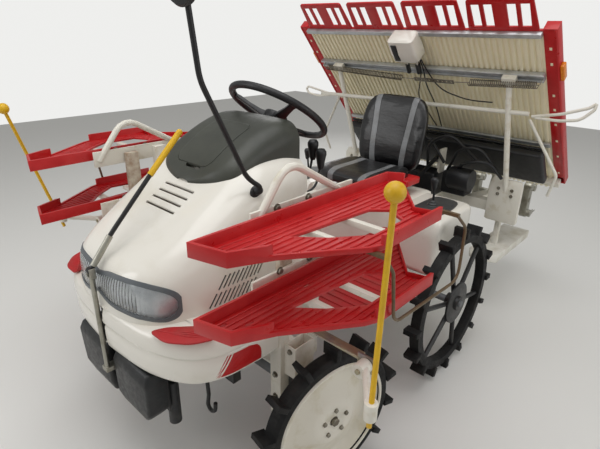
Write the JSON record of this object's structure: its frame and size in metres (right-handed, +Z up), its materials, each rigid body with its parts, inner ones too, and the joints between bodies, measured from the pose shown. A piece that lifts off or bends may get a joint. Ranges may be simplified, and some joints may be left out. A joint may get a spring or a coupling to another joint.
{
  "type": "rice transplanter",
  "caption": "Riding rice transplanter with a sloping seedling stage, spare seedling racks, row markers, steered front wheels and a lifting planting unit.",
  "frame": {"origin": "on the floor, under the middle of the machine's overall width and length", "axes": "+Z up, the machine looks along -Y, the driver's left hand is on +X"},
  "size_m": [1.692, 2.4729, 1.5918],
  "materials": {
    "frame_steel": "satin black paint",
    "cast_case": "grey painted castings",
    "engine_block": "dark grey block",
    "weight_iron": "black painted castings",
    "zinc": "zinc plated",
    "ivory_panel": "ivory moulded panel",
    "lamp_rim": "grey rim",
    "lamp_lens": "clear lens",
    "cowl_plastic": "dark olive grey, faded",
    "red_mat": "red, worn",
    "red_tray": "red",
    "console_plastic": "dark grey",
    "black_steel": "black",
    "seat_vinyl": "black vinyl",
    "black_plastic": "black",
    "white_steel": "white paint, rust spots",
    "bronze_rod": "bronze coloured rod",
    "marker_yellow": "yellow",
    "wheel_ivory": "ivory",
    "tyre_rubber": "black rubber",
    "wheel_black": "black",
    "unit_aluminium": "cast and extruded",
    "float_foam": "light grey foam floats",
    "reflector_orange": "orange reflector",
    "stage_plastic": "cream"
  },
  "bodies": {
    "machine": {"chassis": "frame_steel", "gearcase": "cast_case", "engine": "engine_block", "rear_axle": "cast_case", "front_weights": "weight_iron", "mast_post": "zinc", "bonnet": "ivory_panel", "dash_panel": "ivory_panel", "headlamp_rim": "lamp_rim", "headlamp_lens": "lamp_lens", "cowl": "cowl_plastic", "front_skirt": "ivory_panel", "floor_mats": "red_mat", "rear_body": "ivory_panel", "consoles": "console_plastic", "seat_base": "black_steel", "seat": "seat_vinyl", "steering_column": "black_steel", "levers": "black_plastic", "mirror_stay": "black_steel", "rack_frames": "white_steel", "upper_trays": "red_tray", "lower_trays": "red_tray", "guard_rods": "bronze_rod", "marker_posts": "white_steel"},
    "steering_wheel": {"steering_wheel": "black_plastic"},
    "cowl_lid": {"cowl_lid": "cowl_plastic"},
    "sight_mast": {"sight_mast": "zinc"},
    "marker_left": {"marker_left": "marker_yellow"},
    "marker_right": {"marker_right": "marker_yellow"},
    "knuckle_left": {"knuckle_left": "cast_case"},
    "knuckle_right": {"knuckle_right": "cast_case"},
    "front_wheel_left": {"front_wheel_left": "wheel_ivory", "front_tyre_left": "tyre_rubber"},
    "front_wheel_right": {"front_wheel_right": "wheel_ivory", "front_tyre_right": "tyre_rubber"},
    "rear_wheel_left": {"rear_wheel_left": "wheel_black", "rear_tyre_left": "tyre_rubber"},
    "rear_wheel_right": {"rear_wheel_right": "wheel_black", "rear_tyre_right": "tyre_rubber"},
    "lift_links": {"lift_links": "black_steel"},
    "top_link": {"top_link": "black_steel"},
    "planting_unit": {"planting_frame": "unit_aluminium", "floats": "float_foam", "unit_covers": "white_steel"},
    "seedling_stage": {"seedling_stage": "stage_plastic", "stage_tops": "red_tray", "stage_rails": "unit_aluminium", "control_box": "ivory_panel", "reflectors": "reflector_orange"},
    "rotor_left": {"rotor_left": "zinc"},
    "rotor_right": {"rotor_right": "zinc"}
  },
  "joints": [
    {"name": "steer_left", "type": "hinge", "parent": "machine", "child": "knuckle_left", "pos_m": [0.458, -0.7675, 0.33], "axis": [0, 0, 1], "range_deg": [-20, 40]},
    {"name": "steer_right", "type": "hinge", "parent": "machine", "child": "knuckle_right", "pos_m": [-0.458, -0.7675, 0.33], "axis": [0, 0, 1], "range_deg": [-20, 40]},
    {"name": "steering_wheel_turn", "type": "hinge", "parent": "machine", "child": "steering_wheel", "pos_m": [0, -0.4665, 1.131], "axis": [0, 0.5736, 0.8192], "range_deg": [-240, 480]},
    {"name": "front_roll_left", "type": "hinge", "parent": "knuckle_left", "child": "front_wheel_left", "pos_m": [0.5486, -0.78348, 0.275], "axis": [0.9848, -0.1736, 0], "continuous": true},
    {"name": "front_roll_right", "type": "hinge", "parent": "knuckle_right", "child": "front_wheel_right", "pos_m": [-0.5486, -0.75152, 0.275], "axis": [0.9848, -0.1736, 0], "continuous": true},
    {"name": "rear_roll_left", "type": "hinge", "parent": "machine", "child": "rear_wheel_left", "pos_m": [0.55, 0.0325, 0.34], "axis": [1, 0, 0], "continuous": true},
    {"name": "rear_roll_right", "type": "hinge", "parent": "machine", "child": "rear_wheel_right", "pos_m": [-0.55, 0.0325, 0.34], "axis": [1, 0, 0], "continuous": true},
    {"name": "cowl_lid_hinge", "type": "hinge", "parent": "machine", "child": "cowl_lid", "pos_m": [0, -0.6645, 1.121], "axis": [-1, 0, 0], "range_deg": [0, 70]},
    {"name": "mast_fold", "type": "hinge", "parent": "machine", "child": "sight_mast", "pos_m": [0, -1.2255, 0.761], "axis": [1, 0, 0], "range_deg": [0, 42]},
    {"name": "marker_swing_left", "type": "hinge", "parent": "machine", "child": "marker_left", "pos_m": [0.715, -0.8705, 0.614], "axis": [0, 1, 0], "range_deg": [0, 75]},
    {"name": "marker_swing_right", "type": "hinge", "parent": "machine", "child": "marker_right", "pos_m": [-0.715, -0.8705, 0.614], "axis": [0, -1, 0], "range_deg": [0, 75]},
    {"name": "lift", "type": "hinge", "parent": "machine", "child": "lift_links", "pos_m": [0, 0.2255, 0.431], "axis": [-1, 0, 0], "range_deg": [0, 16]},
    {"name": "top_link_swing", "type": "hinge", "parent": "machine", "child": "top_link", "pos_m": [0, 0.2255, 0.623], "axis": [-1, 0, 0], "range_deg": [0, 16]},
    {"name": "unit_level", "type": "hinge", "parent": "lift_links", "child": "planting_unit", "pos_m": [0, 0.67373, 0.59414], "axis": [-1, 0, 0], "range_deg": [-16, 0]},
    {"name": "stage_travel", "type": "slide", "parent": "planting_unit", "child": "seedling_stage", "axis": [1, 0, 0], "range_m": [-0.128, 0.128]},
    {"name": "rotor_turn_left", "type": "hinge", "parent": "planting_unit", "child": "rotor_left", "pos_m": [0.3, 1.14243, 0.49998], "axis": [1, 0, 0], "continuous": true},
    {"name": "rotor_turn_right", "type": "hinge", "parent": "planting_unit", "child": "rotor_right", "pos_m": [-0.3, 1.14243, 0.49998], "axis": [1, 0, 0], "continuous": true}
  ],
  "couplings": [
    {"joint": "steer_right", "follows": "steer_left", "ratio": 1},
    {"joint": "steering_wheel_turn", "follows": "steer_left", "ratio": 12},
    {"joint": "top_link_swing", "follows": "lift", "ratio": 1},
    {"joint": "unit_level", "follows": "lift", "ratio": -1},
    {"joint": "rotor_turn_right", "follows": "rotor_turn_left", "ratio": 1}
  ]
}
